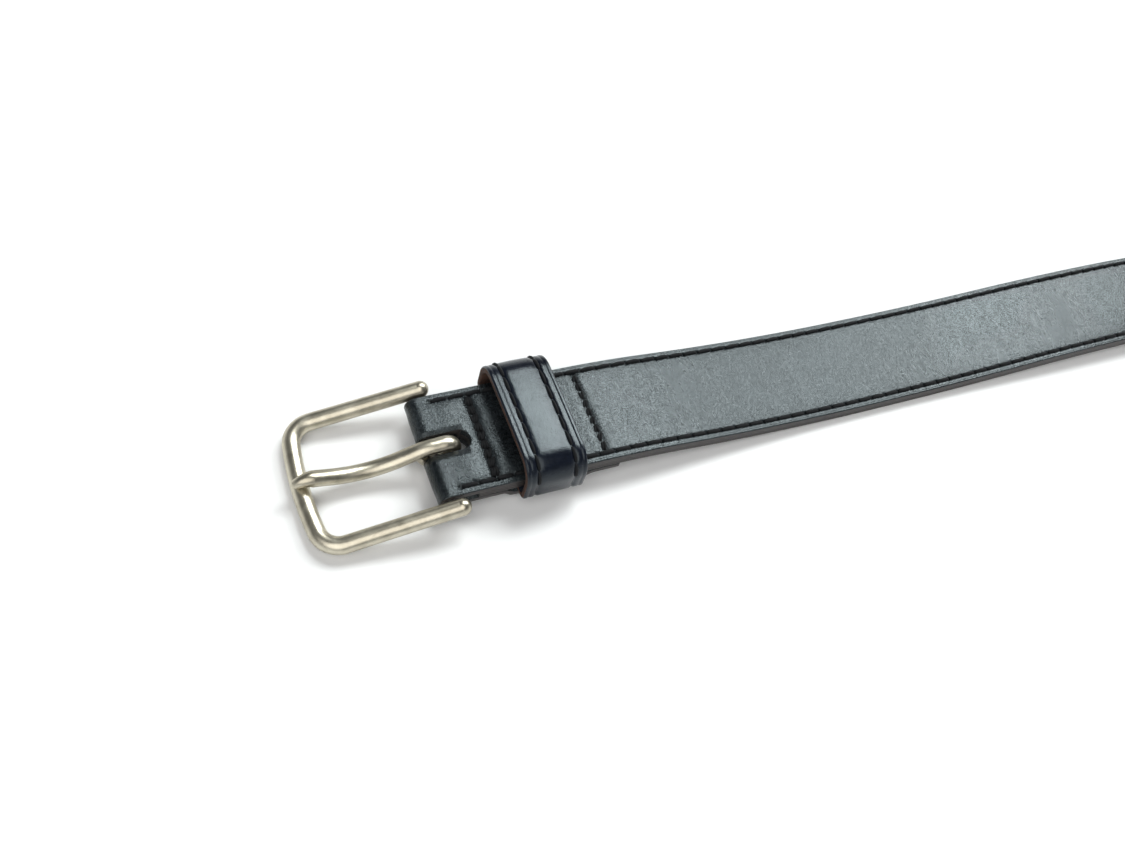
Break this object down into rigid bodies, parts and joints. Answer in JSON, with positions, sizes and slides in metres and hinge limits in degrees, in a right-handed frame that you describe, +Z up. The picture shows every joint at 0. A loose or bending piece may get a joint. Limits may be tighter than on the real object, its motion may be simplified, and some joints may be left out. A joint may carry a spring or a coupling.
{
  "type": "leather dress belt with prong buckle",
  "caption": "Black leather dress belt: stitched strap lying out from a pale metal prong buckle and fixed keeper loop, its far end wound into a loose roll",
  "frame": {"origin": "on the supporting surface, at the middle of the belt's outline seen from above", "axes": "+X along the strap from the buckle to the roll, +Y across the strap, +Z up; the strap lies grain side up"},
  "size_m": [0.4229, 0.0402, 0.0942],
  "materials": {
    "face_leather": "polished black grain leather with fine creases",
    "filler_board": "brown bonded leather board, seen only as a line in the cut edge",
    "lining_leather": "matt black lining leather",
    "keeper_leather": "glossy black leather, raw brown flesh side inside the loop",
    "thread": "black waxed thread",
    "buckle_metal": "satin antique nickel plate over a zinc casting, lightly worn",
    "bar_steel": "drawn steel rod"
  },
  "bodies": {
    "strap": {"strap_face": "face_leather", "strap_filler": "filler_board", "strap_lining": "lining_leather", "keeper_loop": "keeper_leather", "thread_face_far": "thread", "thread_face_near": "thread", "thread_back_far": "thread", "thread_back_near": "thread", "thread_cross_front": "thread", "thread_cross_front_back": "thread", "thread_cross_rear": "thread", "thread_cross_rear_back": "thread", "thread_keeper_left": "thread", "thread_keeper_right": "thread"},
    "frame": {"buckle_frame": "buckle_metal", "buckle_bar": "bar_steel"},
    "prong": {"buckle_prong": "buckle_metal"}
  },
  "joints": [
    {"name": "frame_pivot", "type": "hinge", "parent": "strap", "child": "frame", "pos_m": [-0.17562, 0, 0.0062], "axis": [0, 1, 0], "range_deg": [-110, 10]},
    {"name": "prong_pivot", "type": "hinge", "parent": "frame", "child": "prong", "pos_m": [-0.17562, 0, 0.0062], "axis": [0, 1, 0], "range_deg": [0, 90]}
  ]
}
